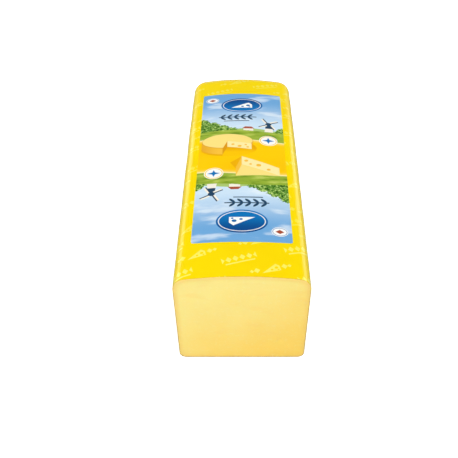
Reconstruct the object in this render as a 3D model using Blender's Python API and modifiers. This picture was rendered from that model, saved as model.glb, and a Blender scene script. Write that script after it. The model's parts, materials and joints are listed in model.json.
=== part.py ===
"""Gouda block: a foil-ripened cheese loaf in its printed film, cut square at one end.

Three pieces: the cheese itself, the thin film that wraps five sides and the underside, and the
label stuck on the crowned top. The loaf lies on its underside. The cut face looks toward -Y, the
rounded end toward +Y, and the origin is at the centre of the footprint. Units are metres, +Z up.
"""

import math

import bmesh
import bpy

# The loaf, over its film.
LENGTH = 0.305
WIDTH = 0.100
HEIGHT = 0.0937
BASE_WIDTH = 0.0994
CROWN_RISE = 0.0046
SHOULDER_RADIUS = 0.010
FOOT_RADIUS = 0.0056

# The rounded end: its corners seen from above, its upper and lower edges seen from the side, and
# how far the top sinks between mid-length and the end.
END_CORNER_RADIUS = 0.0255
END_TOP_RADIUS = 0.021
END_FOOT_RADIUS = 0.012
END_SINK = 0.0043

# The film, the label and the clearance that keeps each piece off the next.
FILM_THICKNESS = 0.0005
LABEL_THICKNESS = 0.0003
CLEARANCE = 0.0003
LABEL_WIDTH = 0.0765
LABEL_LENGTH = 0.221
LABEL_FROM_CUT = 0.0355
LABEL_END_BOW = 0.001
LABEL_CORNER_RADIUS = 0.0015

# How finely the curves are divided.
CORNER_STEPS = 6
CROWN_STEPS = 7
BODY_STEPS = 12
END_STEPS = 9
LABEL_GRID = (12, 16)
LABEL_CORNER_STEPS = 4
SMOOTH_ANGLE = math.radians(35)

# Slot name: colour, roughness.
FINISHES = {
    "cheese": ((0.96, 0.80, 0.42), 0.55),
    "film": ((0.98, 0.83, 0.03), 0.25),
    "label": ((0.55, 0.74, 0.90), 0.30),
}


def clear_scene():
    """Remove every object that the scene starts with."""
    for existing in list(bpy.data.objects):
        bpy.data.objects.remove(existing, do_unlink=True)


def make_finish(slot):
    """Return the Principled material of one slot."""
    colour, roughness = FINISHES[slot]
    material = bpy.data.materials.new(slot)
    material.use_nodes = True
    shader = material.node_tree.nodes["Principled BSDF"]
    shader.inputs["Base Color"].default_value = (*colour, 1.0)
    shader.inputs["Roughness"].default_value = roughness
    shader.inputs["Metallic"].default_value = 0.0
    return material


def crown_height(x):
    """Height of the crowned top at a distance x from the middle plane."""
    return HEIGHT - CROWN_RISE * (x / (WIDTH / 2)) ** 2


def arc_points(centre_x, centre_z, radius, start, end):
    """Points of an arc in the XZ plane, both ends included."""
    turns = (start + (end - start) * step / CORNER_STEPS for step in range(CORNER_STEPS + 1))
    return [(centre_x + radius * math.cos(turn), centre_z + radius * math.sin(turn)) for turn in turns]


def half_outline(inset):
    """Right half of the loaf's section, from the underside up to the middle of the crown."""
    foot_radius = FOOT_RADIUS - inset
    foot = arc_points(BASE_WIDTH / 2 - FOOT_RADIUS, FOOT_RADIUS, foot_radius, -math.pi / 2, 0.0)

    # The shoulder's arc meets the crown where both have the same slope.
    lean = math.atan(2 * CROWN_RISE * (WIDTH / 2 - SHOULDER_RADIUS) / (WIDTH / 2) ** 2)
    centre_x = WIDTH / 2 - SHOULDER_RADIUS
    meet_x = centre_x + SHOULDER_RADIUS * math.sin(lean)
    centre_z = crown_height(meet_x) - SHOULDER_RADIUS * math.cos(lean)
    shoulder_radius = SHOULDER_RADIUS - inset
    shoulder = arc_points(centre_x, centre_z, shoulder_radius, 0.0, math.pi / 2 - lean)

    crown_start = shoulder[-1][0]
    spans = (crown_start * (1 - step / CROWN_STEPS) for step in range(1, CROWN_STEPS))
    crown = [(x, crown_height(x) - inset) for x in spans]
    return foot + shoulder + crown


def full_outline(inset):
    """The whole section as one loop of (x, z) points, left half mirrored from the right."""
    right = half_outline(inset)
    left = [(-x, z) for x, z in reversed(right)]
    return right + [(0.0, HEIGHT - inset)] + left


def arc_inset(y, end_y, radius):
    """How far a rounded edge has drawn in at y, when its arc ends at end_y."""
    into = max(0.0, min(1.0, (y - (end_y - radius)) / radius))
    return radius * (1 - math.sqrt(1 - into ** 2))


def end_sink(y):
    """How far the top has sunk at y: nothing up to mid-length, then more and more."""
    return END_SINK * max(0.0, y / (LENGTH / 2)) ** 2


def shaped(x, z, y, inset=0.0):
    """Move a section point to where the loaf's rounded end takes it at y."""
    end_y = LENGTH / 2 - inset
    half_width = WIDTH / 2 - inset
    drawn_in = arc_inset(y, end_y, END_CORNER_RADIUS - inset)
    lowered = arc_inset(y, end_y, END_TOP_RADIUS - inset) + end_sink(y)
    lifted = arc_inset(y, end_y, END_FOOT_RADIUS - inset)
    height = HEIGHT - 2 * inset
    kept = (height - lowered - lifted) / height
    return (x * (1 - drawn_in / half_width), y, inset + lifted + (z - inset) * kept)


def loaf_stations(inset):
    """The y of every section: evenly along the body, then closing up round the end's arc."""
    start = -LENGTH / 2
    radius = END_CORNER_RADIUS - inset
    arc_start = LENGTH / 2 - END_CORNER_RADIUS
    body = [start + (arc_start - start) * step / BODY_STEPS for step in range(BODY_STEPS)]
    turns = (math.pi / 2 * step / END_STEPS for step in range(END_STEPS + 1))
    return body + [arc_start + radius * math.sin(turn) for turn in turns]


def add_section(bm, y, inset):
    """Add one closed ring of edges across the loaf and return its edges and points."""
    ring = [bm.verts.new(shaped(x, z, y, inset)) for x, z in full_outline(inset)]
    edges = [bm.edges.new((point, ring[index - 1])) for index, point in enumerate(ring)]
    return edges, ring


def loft_loaf(inset):
    """Bridge the sections into one closed loaf and return it with its cut face."""
    bm = bmesh.new()
    sections = [add_section(bm, y, inset) for y in loaf_stations(inset)]
    for (near, _), (far, _) in zip(sections, sections[1:]):
        bmesh.ops.bridge_loops(bm, edges=near + far)
    cut_face = bm.faces.new(sections[0][1])
    bm.faces.new(sections[-1][1])
    bmesh.ops.recalc_face_normals(bm, faces=bm.faces)
    return bm, cut_face


def add_object(name, bm, slot, collection):
    """Turn a bmesh into a named, smooth-shaded object with the slot's material."""
    mesh = bpy.data.meshes.new(name)
    bm.to_mesh(mesh)
    bm.free()
    mesh.shade_smooth()
    mesh.set_sharp_from_angle(angle=SMOOTH_ANGLE)
    mesh.materials.append(make_finish(slot))
    piece = bpy.data.objects.new(name, mesh)
    collection.objects.link(piece)
    return piece


def add_thickness(piece, thickness, offset):
    """Give an open surface its thickness: offset -1 grows inward, +1 outward."""
    solidify = piece.modifiers.new("Thickness", "SOLIDIFY")
    solidify.thickness = thickness
    solidify.offset = offset
    solidify.use_even_offset = True


def build_cheese(collection):
    """The cheese: the loaf's form, drawn in by the film and the clearance."""
    bm, _ = loft_loaf(FILM_THICKNESS + CLEARANCE)
    return add_object("cheese_block", bm, "cheese", collection)


def build_film(collection):
    """The film: a thin skin over the loaf, open at the cut."""
    bm, cut_face = loft_loaf(0.0)
    bmesh.ops.delete(bm, geom=[cut_face], context="FACES_ONLY")
    film = add_object("film_wrap", bm, "film", collection)
    add_thickness(film, FILM_THICKNESS, -1.0)
    return film


def build_label(collection):
    """The label: a sheet with rounded corners and bowed ends that follows the crown."""
    bm = bmesh.new()
    columns, rows = LABEL_GRID
    bmesh.ops.create_grid(bm, x_segments=columns, y_segments=rows, size=0.5)
    bmesh.ops.scale(bm, vec=(LABEL_WIDTH, LABEL_LENGTH, 1.0), verts=bm.verts)
    corners = [point for point in bm.verts if len(point.link_faces) == 1]
    bmesh.ops.bevel(
        bm,
        geom=corners,
        offset=LABEL_CORNER_RADIUS,
        segments=LABEL_CORNER_STEPS,
        profile=0.5,
        affect="VERTICES",
    )
    middle_y = -LENGTH / 2 + LABEL_FROM_CUT + LABEL_LENGTH / 2
    for point in bm.verts:
        x = point.co.x
        drawn_back = 2 * LABEL_END_BOW / LABEL_LENGTH * (2 * x / LABEL_WIDTH) ** 2
        point.co = shaped(x, crown_height(x), middle_y + point.co.y * (1 - drawn_back))
        point.co.z += CLEARANCE
    label = add_object("top_label", bm, "label", collection)
    add_thickness(label, LABEL_THICKNESS, 1.0)
    return label


def main():
    """Build the block's three pieces."""
    clear_scene()
    collection = bpy.data.collections.new("gouda_block")
    bpy.context.scene.collection.children.link(collection)
    build_cheese(collection)
    build_film(collection)
    build_label(collection)


if __name__ == "__main__":
    main()
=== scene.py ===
"""Looks of the gouda block: the cheese, its printed film, the picture label and the studio.

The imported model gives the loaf's place and size. Each sub-assembly below is a class that models its
piece with Blender's own operators and dresses it with a procedural finish. Units are metres, +Z up,
and the cut face looks toward -Y.
"""

import json
import logging
import math
from collections.abc import Callable
from dataclasses import dataclass, replace
from enum import Enum
from functools import cached_property

import bmesh
import bpy
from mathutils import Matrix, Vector

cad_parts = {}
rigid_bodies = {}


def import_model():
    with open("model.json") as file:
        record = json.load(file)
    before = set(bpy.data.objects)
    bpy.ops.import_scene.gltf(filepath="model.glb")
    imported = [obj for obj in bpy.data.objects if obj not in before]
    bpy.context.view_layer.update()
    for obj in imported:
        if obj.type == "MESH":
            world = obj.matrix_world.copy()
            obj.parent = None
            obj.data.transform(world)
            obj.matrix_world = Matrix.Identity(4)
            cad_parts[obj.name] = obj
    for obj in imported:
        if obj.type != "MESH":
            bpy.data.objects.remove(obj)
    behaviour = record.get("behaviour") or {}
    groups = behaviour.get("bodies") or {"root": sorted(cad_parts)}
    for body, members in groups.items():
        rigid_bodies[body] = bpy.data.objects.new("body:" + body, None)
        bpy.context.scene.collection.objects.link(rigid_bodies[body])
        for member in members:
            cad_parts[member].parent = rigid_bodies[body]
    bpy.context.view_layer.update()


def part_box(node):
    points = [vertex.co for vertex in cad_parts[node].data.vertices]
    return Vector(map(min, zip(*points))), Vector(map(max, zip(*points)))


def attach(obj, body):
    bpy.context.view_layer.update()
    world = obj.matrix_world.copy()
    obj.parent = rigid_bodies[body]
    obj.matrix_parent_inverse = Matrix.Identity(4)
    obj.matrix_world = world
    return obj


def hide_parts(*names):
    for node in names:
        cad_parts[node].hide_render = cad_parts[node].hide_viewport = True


log = logging.getLogger("gouda_block")

MM = 0.001
FOOT_INSET = 0.3 * MM
CHEESE_INSET = 0.3 * MM
FILM_INSET = 0.1 * MM
FILM_ROLL = "film_roll"
Triple = tuple[float, float, float]
Colour = Triple
Weigh = Callable[[Vector], float]
Piece = bpy.types.Object
Node = bpy.types.Node


class Slot(Enum):
    """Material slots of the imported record."""

    CHEESE = "cheese"
    FILM = "film"
    LABEL = "label"


class Part(Enum):
    """What an edit-mode selection is made of."""

    POINTS = "VERT"
    FACES = "FACE"


class Shape(Enum):
    """Flat shapes that the shared mask group draws."""

    OVAL = "Oval"
    PANEL = "Panel"
    LOZENGE = "Lozenge"


# ---- Modelling helpers ----


class Bench:
    """Edit-mode work on one piece: parts are picked by their place, then worked by operators."""

    def __init__(self, name: str, cells: tuple[int, int], place: Vector, size: Triple, tilt: float) -> None:
        """Add a grid primitive, open it in edit mode and bring it to size.

        Args:
            name: Name of the new piece.
            cells: Number of cells across and up.
            place: Centre of the grid.
            size: Its size along X, Y and Z, 1 along the axis it is flat in.
            tilt: Its turn about X.
        """
        for other in bpy.context.view_layer.objects:
            other.select_set(False)
        columns, rows = cells
        bpy.ops.mesh.primitive_grid_add(
            x_subdivisions=columns, y_subdivisions=rows, size=1.0, location=place, rotation=(tilt, 0.0, 0.0)
        )
        self.piece = bpy.context.object
        self.piece.name = name
        self.piece.data.name = name
        bpy.ops.object.transform_apply(location=True, rotation=True, scale=True)
        bpy.ops.object.mode_set(mode="EDIT")
        self.stretch(size, tuple(place))

    def pick(self, part: Part, wanted: Callable[[Vector], bool]) -> None:
        """Select only the points or the faces whose place passes a test.

        Args:
            part: What is selected.
            wanted: Test on a point's place or a face's centre.
        """
        bpy.ops.mesh.select_mode(type=part.value)
        bpy.ops.mesh.select_all(action="DESELECT")
        shape = bmesh.from_edit_mesh(self.piece.data)
        if part is Part.POINTS:
            places = [(point, point.co) for point in shape.verts]
        else:
            places = [(face, face.calc_center_median()) for face in shape.faces]
        for element, place in places:
            if wanted(place):
                element.select = True
        shape.select_flush_mode()
        bmesh.update_edit_mesh(self.piece.data)

    @staticmethod
    def move(offset: Triple) -> None:
        """Translate what is selected by an offset."""
        bpy.ops.transform.translate(value=offset)

    @staticmethod
    def stretch(scale: Triple, centre: Triple) -> None:
        """Resize what is selected about a centre."""
        bpy.ops.transform.resize(value=scale, center_override=centre)

    def close(self) -> Piece:
        """Leave edit mode with every face looking outward, shaded smooth.

        Returns:
            The piece.
        """
        bpy.ops.mesh.select_all(action="SELECT")
        bpy.ops.mesh.normals_make_consistent(inside=False)
        bpy.ops.object.mode_set(mode="OBJECT")
        bpy.ops.object.shade_smooth()
        return self.piece


def apply_modifier(piece: Piece, kind: str, **settings: object) -> None:
    """Add one modifier to a piece and apply it at once.

    Args:
        piece: The mesh object.
        kind: Modifier type.
        settings: Values of the modifier's own properties.
    """
    modifier = piece.modifiers.new(kind.title(), kind)
    for key, value in settings.items():
        setattr(modifier, key, value)
    with bpy.context.temp_override(object=piece, active_object=piece, selected_objects=[piece]):
        bpy.ops.object.modifier_apply(modifier=modifier.name)


def press(piece: Piece, strength: float, weigh: Weigh, axis: str = "Y", **settings: object) -> None:
    """Displace parts of a surface along one axis.

    Args:
        piece: The mesh object.
        strength: How far a place of full weight moves, against the axis where negative.
        weigh: Share of the strength, 0 to 1, that a place gets.
        axis: The axis, "X", "Y" or "Z", or "NORMAL".
        settings: Values of the modifier's other properties.
    """
    group = piece.vertex_groups.new(name="pressed")
    for point in piece.data.vertices:
        group.add([point.index], weigh(point.co), "REPLACE")
    settings = {"mid_level": 0.0, "vertex_group": group.name, **settings}
    apply_modifier(piece, "DISPLACE", direction=axis, strength=strength, **settings)
    piece.vertex_groups.clear()


def ripple(piece: Piece, size: float, strength: float, weigh: Weigh, middle: float = 0.5) -> None:
    """Push a surface in and out along its normals by soft cloud-shaped swells.

    Args:
        piece: The mesh object.
        size: Width of one swell.
        strength: Full height between hollow and crest.
        weigh: Share of the strength that a place gets.
        middle: Cloud value that leaves the surface where it is.
    """
    clouds = bpy.data.textures.new(f"{piece.name}_swell", "CLOUDS")
    clouds.noise_scale = size
    clouds.noise_depth = 1
    press(piece, strength, weigh, "NORMAL", texture=clouds, texture_coords="LOCAL", mid_level=middle)


def thicken(piece: Piece, thickness: float, offset: float) -> None:
    """Give a sheet its thickness, and keep its rims crisp.

    Args:
        piece: The mesh object.
        thickness: Thickness of the sheet.
        offset: -1 grows it inward, 1 outward.
    """
    apply_modifier(piece, "SOLIDIFY", thickness=thickness, offset=offset, use_even_offset=True)
    with bpy.context.temp_override(object=piece, active_object=piece, selected_editable_objects=[piece]):
        bpy.ops.object.shade_smooth_by_angle(angle=math.radians(40))


def lay_on(piece: Piece, film: Piece, axis: str, lift: float) -> None:
    """Press a flat sheet onto the film, against one axis.

    Args:
        piece: The sheet, standing off the film on the axis's far side.
        film: The film.
        axis: The axis, "x", "y" or "z".
        lift: Clearance that stays between the two.
    """
    ways = {f"use_project_{letter}": letter == axis for letter in "xyz"}
    ways |= {"use_negative_direction": True, "use_positive_direction": False}
    apply_modifier(piece, "SHRINKWRAP", target=film, wrap_method="PROJECT", offset=lift, **ways)


def ease(value: float, low: float, high: float) -> float:
    """Smooth step from 0 at low to 1 at high."""
    share = max(0.0, min(1.0, (value - low) / (high - low)))
    return share * share * (3 - 2 * share)


# ---- Shader helpers ----


class Value:
    """What a node puts out. Arithmetic on it adds Math nodes to the same tree."""

    def __init__(self, w: "Wiring", socket: bpy.types.NodeSocket) -> None:
        """Hold an output socket of a tree."""
        self.w = w
        self.socket = socket

    def __add__(self, other: "Feed") -> "Value":
        """The sum."""
        return self.w.math("ADD", self, other)

    def __sub__(self, other: "Feed") -> "Value":
        """The difference."""
        return self.w.math("SUBTRACT", self, other)

    def __rsub__(self, other: "Feed") -> "Value":
        """The difference from a plain number."""
        return self.w.math("SUBTRACT", other, self)

    def __mul__(self, other: "Feed") -> "Value":
        """The product."""
        return self.w.math("MULTIPLY", self, other)

    def __truediv__(self, other: "Feed") -> "Value":
        """The quotient."""
        return self.w.math("DIVIDE", self, other)

    def __mod__(self, other: "Feed") -> "Value":
        """The remainder, never negative."""
        return self.w.math("FLOORED_MODULO", self, other)

    def __abs__(self) -> "Value":
        """The size without its sign."""
        return self.w.math("ABSOLUTE", self)


Feed = Value | float | tuple


class Wiring:
    """Adds nodes to one tree and wires them."""

    def __init__(self, tree: bpy.types.NodeTree) -> None:
        """Take a material's, a world's or a group's node tree."""
        self.tree = tree

    def add(self, kind: str, **settings: object) -> Node:
        """Add a node and set its own properties.

        Args:
            kind: Node type without the ShaderNode prefix.
            settings: Values of the node's properties.

        Returns:
            The new node.
        """
        node = self.tree.nodes.new(f"ShaderNode{kind}")
        for key, value in settings.items():
            setattr(node, key, value)
        return node

    def source(self, kind: str, output: str, **settings: object) -> Value:
        """Add a node without inputs and take one of its outputs by name."""
        return Value(self, self.add(kind, **settings).outputs[output])

    def feed(self, socket: bpy.types.NodeSocket, value: Feed) -> None:
        """Link a socket to a node's output, or set its value.

        Args:
            socket: The input socket.
            value: What it gets.
        """
        if isinstance(value, Value):
            self.tree.links.new(value.socket, socket)
        elif isinstance(value, tuple) and socket.type == "RGBA":
            socket.default_value = (*value, 1.0)
        else:
            socket.default_value = value

    def fill(self, node: Node, **values: Feed) -> Node:
        """Feed a node's inputs by name, underscores standing for spaces.

        Args:
            node: The node.
            values: What each input gets.

        Returns:
            The node.
        """
        for key, value in values.items():
            self.feed(node.inputs[key.replace("_", " ")], value)
        return node

    def run(self, node: Node, *values: Feed, output: int | str = 0) -> Value:
        """Feed a node's inputs in their order and take one of its outputs.

        Args:
            node: The node.
            values: What its first inputs get.
            output: The output's number or name.

        Returns:
            The output.
        """
        for socket, value in zip(node.inputs, values):
            self.feed(socket, value)
        return Value(self, node.outputs[output])

    def math(self, operation: str, *values: Feed, clamp: bool = False) -> Value:
        """Result of one Math node, kept between 0 and 1 where clamped."""
        return self.run(self.add("Math", operation=operation, use_clamp=clamp), *values)

    def step(self, value: Feed, low: Feed, high: Feed) -> Value:
        """Smooth step of a value from 0 at low to 1 at high."""
        return self.run(self.add("MapRange", interpolation_type="SMOOTHSTEP"), value, low, high)

    def blend(self, factor: Feed, first: Feed, second: Feed) -> Value:
        """Mix two colours.

        Args:
            factor: Share of the second colour.
            first: Colour at factor 0.
            second: Colour at factor 1.

        Returns:
            The mixed colour.
        """
        node = self.add("Mix", data_type="RGBA", clamp_factor=True)
        for index, value in ((0, factor), (6, first), (7, second)):
            self.feed(node.inputs[index], value)
        return Value(self, node.outputs[2])

    def noise(
        self,
        place: Value,
        scale: float,
        detail: float = 2.0,
        stretch: Triple = (1.0, 1.0, 1.0),
        **more: float,
    ) -> Value:
        """Noise value, about 0 to 1.

        Args:
            place: Coordinates.
            scale: How many swells fit in one unit.
            detail: How many finer layers lie over them.
            stretch: Scale of the coordinates along each axis.
            more: The noise node's other inputs.

        Returns:
            The value.
        """
        mapped = self.run(self.add("Mapping"), place, (0.0, 0.0, 0.0), (0.0, 0.0, 0.0), stretch)
        node = self.fill(self.add("TexNoise"), Vector=mapped, Scale=scale, Detail=detail, **more)
        return Value(self, node.outputs["Fac"])

    def axes(self, place: Value) -> tuple[Value, Value, Value]:
        """The x, y and z of a place."""
        outputs = self.run(self.add("SeparateXYZ"), place).socket.node.outputs
        return tuple(Value(self, socket) for socket in outputs)

    def join(self, x: Feed, y: Feed) -> Value:
        """A flat place from its x and y."""
        return self.run(self.add("CombineXYZ"), x, y)

    def either(self, first: Value, *others: Feed) -> Value:
        """The largest of several values: a shape made of several masks.

        Args:
            first: One value.
            others: The rest.

        Returns:
            The largest.
        """
        for other in others:
            first = self.math("MAXIMUM", first, other)
        return first

    def group(self, effect: bpy.types.NodeTree, **values: Feed) -> Node:
        """Place a shared effect and feed its inputs by name."""
        return self.fill(self.add("Group", node_tree=effect), **values)


class Effects:
    """The shader node groups that finishes share, each built once."""

    @staticmethod
    def _start(
        name: str, places: tuple[str, ...], numbers: tuple[str, ...], outputs: tuple[str, ...]
    ) -> tuple[Wiring, list[Value], Node]:
        """Make a group tree with named sockets.

        Args:
            name: Name of the group.
            places: Names of its vector inputs.
            numbers: Names of its number inputs, which follow.
            outputs: Names of its outputs, all of them numbers.

        Returns:
            The group's wiring, what its inputs give, and its output node.
        """
        w = Wiring(bpy.data.node_groups.new(name, "ShaderNodeTree"))
        rows = (("INPUT", "Vector", places), ("INPUT", "Float", numbers), ("OUTPUT", "Float", outputs))
        for way, kind, labels in rows:
            for label in labels:
                w.tree.interface.new_socket(label, in_out=way, socket_type=f"NodeSocket{kind}")
        entry = w.tree.nodes.new("NodeGroupInput")
        given = [Value(w, entry.outputs[label]) for label in places + numbers]
        return w, given, w.tree.nodes.new("NodeGroupOutput")

    @cached_property
    def shapes(self) -> bpy.types.NodeTree:
        """Masks of an oval, a round-cornered panel and a lozenge, by their centre and half sizes.

        Returns:
            The group's tree.
        """
        inputs = (("Place", "Centre", "Half"), ("Corner", "Edge"))
        w, given, leave = self._start("flat_shapes", *inputs, tuple(shape.value for shape in Shape))
        place, centre, half = (w.axes(value)[:2] for value in given[:3])
        corner, edge = given[3:]
        away = [abs(here - middle) for here, middle in zip(place, centre)]
        shares = [apart / reach for apart, reach in zip(away, half)]
        past = [w.either(apart - (reach - corner), 0.0) for apart, reach in zip(away, half)]
        outside = {
            Shape.OVAL: (self._hypotenuse(*shares) - 1.0) * half[1],
            Shape.PANEL: self._hypotenuse(*past) - corner,
            Shape.LOZENGE: (shares[0] + shares[1] - 1.0) * (half[1] * 0.7),
        }
        for shape, distance in outside.items():
            w.feed(leave.inputs[shape.value], w.step(distance, edge, 0.0))
        return w.tree

    @staticmethod
    def _hypotenuse(x: Value, y: Value) -> Value:
        """Length of a flat vector."""
        return x.w.math("SQRT", x * x + y * y)

    @cached_property
    def crinkle(self) -> bpy.types.NodeTree:
        """Height of a tight plastic sheet, in metres, by how much it swells and creases.

        Returns:
            The group's tree.
        """
        w, given, leave = self._start("crinkle_height", ("Place",), ("Swell", "Crease"), ("Height",))
        place, swell, crease = given
        height = w.noise(place, 60.0, 1.0) * swell + w.noise(place, 220.0, 3.0, (1.0, 0.35, 1.0)) * crease
        w.feed(leave.inputs["Height"], height)
        return w.tree


class Pen:
    """Draws flat shapes as masks, in the coordinates of one place."""

    def __init__(self, effects: Effects, place: Value, edge: float = 0.25) -> None:
        """Take a place to draw in.

        Args:
            effects: The shared shader groups.
            place: The print's coordinates.
            edge: Width of a shape's soft edge, in the coordinates' unit.
        """
        self.w = place.w
        self.effects = effects
        self.place = place
        self.edge = edge
        self.across, self.along, _ = self.w.axes(place)

    def draw(self, shape: Shape, x: float, y: float, wide: float, tall: float, corner: float = 0.0) -> Value:
        """Mask of one of the shared shapes.

        Args:
            shape: Which one.
            x: Its middle across.
            y: Its middle along.
            wide: Half its width.
            tall: Half its height.
            corner: Radius of a panel's corners.

        Returns:
            The mask.
        """
        spot = {"Place": self.place, "Centre": (x, y, 0.0), "Half": (wide, tall, 0.0)}
        node = self.w.group(self.effects.shapes, Corner=corner, Edge=self.edge, **spot)
        return Value(self.w, node.outputs[shape.value])

    def oval(self, x: float, y: float, wide: float, tall: float) -> Value:
        """Mask of an oval with its radii."""
        return self.draw(Shape.OVAL, x, y, wide, tall)

    def ring(self, x: float, y: float, wide: float, tall: float, line: float) -> Value:
        """Mask of an oval line."""
        inner = self.oval(x, y, wide - line, tall - line)
        return self.w.math("SUBTRACT", self.oval(x, y, wide, tall), inner, clamp=True)

    def polygon(self, *corners: tuple[float, float]) -> Value:
        """Mask of a convex polygon.

        Args:
            corners: Its corners, anticlockwise.

        Returns:
            The mask.
        """
        sides = []
        for (x, y), (next_x, next_y) in zip(corners, corners[1:] + corners[:1]):
            run = math.hypot(next_x - x, next_y - y)
            out = ((next_y - y) / run, (x - next_x) / run, 0.0)
            dot = self.w.add("VectorMath", operation="DOT_PRODUCT")
            reach = self.w.run(dot, self.place, out, output="Value")
            sides.append(reach - (out[0] * x + out[1] * y))
        return self.w.step(self.w.either(*sides), self.edge, 0.0)

    def blade(self, turn: float, reach: tuple[float, float], width: tuple[float, float]) -> Value:
        """Mask of a bar that runs out from zero.

        Args:
            turn: Its direction, in radians.
            reach: Where it starts and ends.
            width: Its right and left side, from the line that it follows.

        Returns:
            The mask.
        """
        cos, sin = math.cos(turn), math.sin(turn)
        (start, end), (right, left) = reach, width
        corners = ((start, right), (end, right), (end, left), (start, left))
        return self.polygon(*((out * cos - off * sin, out * sin + off * cos) for out, off in corners))

    def cheese_wedge(self, x: float, y: float, size: float) -> Value:
        """Mask of a plain cheese wedge with three holes.

        Args:
            x: Middle of the wedge across.
            y: Middle of the wedge along.
            size: Size of the wedge, 1 being 18 units wide.

        Returns:
            The mask.
        """
        outline = ((-9.0, -4.2), (9.0, -4.2), (9.0, 1.5), (6.0, 4.5))
        wedge = self.polygon(*((x + size * right, y + size * up) for right, up in outline))
        for right, up, radius in ((5.5, -0.3, 1.6), (0.6, -2.0, 1.1), (6.8, -3.0, 0.8)):
            hole = self.oval(x + size * right, y + size * up, size * radius, size * radius * 0.8)
            wedge = self.w.math("SUBTRACT", wedge, hole, clamp=True)
        return wedge

    def wave(self, swing: float, length: float, phase: float) -> Value:
        """A sine wave across the print."""
        return self.w.math("SINE", self.across * (math.tau / length) + phase) * swing

    def moved(self, x: float, y: float, turned: bool = False) -> "Pen":
        """A pen whose zero lies at a place of this one's.

        Args:
            x: The place across.
            y: The place along.
            turned: Whether the new pen draws upside down.

        Returns:
            The new pen.
        """
        ends = ((x, y, 0.0), self.place) if turned else (self.place, (x, y, 0.0))
        shifted = self.w.run(self.w.add("VectorMath", operation="SUBTRACT"), *ends)
        return Pen(self.effects, shifted, self.edge)

    def roughened(self, swing: float, scale: float) -> "Pen":
        """A pen whose shapes have ragged outlines.

        Args:
            swing: How far an outline strays.
            scale: Scale of its noise.

        Returns:
            The new pen.
        """
        stray = (self.w.noise(self.place, scale, 3.0) - 0.5) * (2 * swing)
        return Pen(self.effects, self.w.join(self.across + stray, self.along + stray), self.edge)


# ---- The loaf's form ----


@dataclass(frozen=True)
class LoafForm:
    """The loaf's outer form: its section and its rounded end, drawn in by an inset for inner layers."""

    half_width: float
    cut_y: float
    end_y: float
    floor: float
    top: float
    foot_half_width: float
    crown_rise: float = 0.0046
    shoulder_radius: float = 0.010
    foot_radius: float = 0.0056
    end_corner_radius: float = 0.0255
    end_top_radius: float = 0.021
    end_foot_radius: float = 0.012
    end_sink: float = 0.0043

    @classmethod
    def from_frame(cls, node: str) -> "LoafForm":
        """Read the form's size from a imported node's box, with the foot a little narrower.

        Args:
            node: Name of the node.

        Returns:
            The form that fills the box.
        """
        low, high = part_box(node)
        half_width = (high.x - low.x) / 2
        return cls(half_width, low.y, high.y, low.z, high.z, half_width - FOOT_INSET)

    def drawn_in(self, inset: float) -> "LoafForm":
        """The same form, smaller by an inset on every side but the cut.

        Args:
            inset: How far each surface moves in.

        Returns:
            The inner form.
        """
        radii = ("shoulder_radius", "foot_radius", "end_corner_radius", "end_top_radius", "end_foot_radius")
        smaller = ("half_width", "foot_half_width", "end_y", "top", *radii)
        sizes = {name: getattr(self, name) - inset for name in smaller}
        return replace(self, floor=self.floor + inset, **sizes)

    @property
    def height(self) -> float:
        """Height of the section."""
        return self.top - self.floor

    @property
    def arc_start(self) -> float:
        """Where the end starts to close in."""
        return self.end_y - self.end_corner_radius

    def at_cut(self, place: Vector) -> bool:
        """Whether a place lies on the plane of the cut."""
        return place.y < self.cut_y + 0.1 * MM

    def crown_drop(self, x: float) -> float:
        """How far the crowned top lies below its middle at a distance x from it."""
        return self.crown_rise * (x / self.half_width) ** 2

    def _arc(self, y: float, radius: float) -> float:
        """How far a rounded edge of a radius has drawn in at y."""
        into = max(0.0, min(1.0, (y - (self.end_y - radius)) / radius))
        return radius * (1 - math.sqrt(1 - into**2))

    def fit(self, y: float) -> Triple:
        """How the section sits at y.

        Args:
            y: Place along the loaf.

        Returns:
            Its share of the full width, its share of the full height, and its lift off the floor.
        """
        middle = (self.cut_y + self.end_y) / 2
        sink = self.end_sink * max(0.0, (y - middle) / (self.end_y - middle)) ** 2
        lift = self._arc(y, self.end_foot_radius)
        lowered = self._arc(y, self.end_top_radius) + sink
        width = 1 - self._arc(y, self.end_corner_radius) / self.half_width
        return width, (self.height - lowered - lift) / self.height, lift


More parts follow.
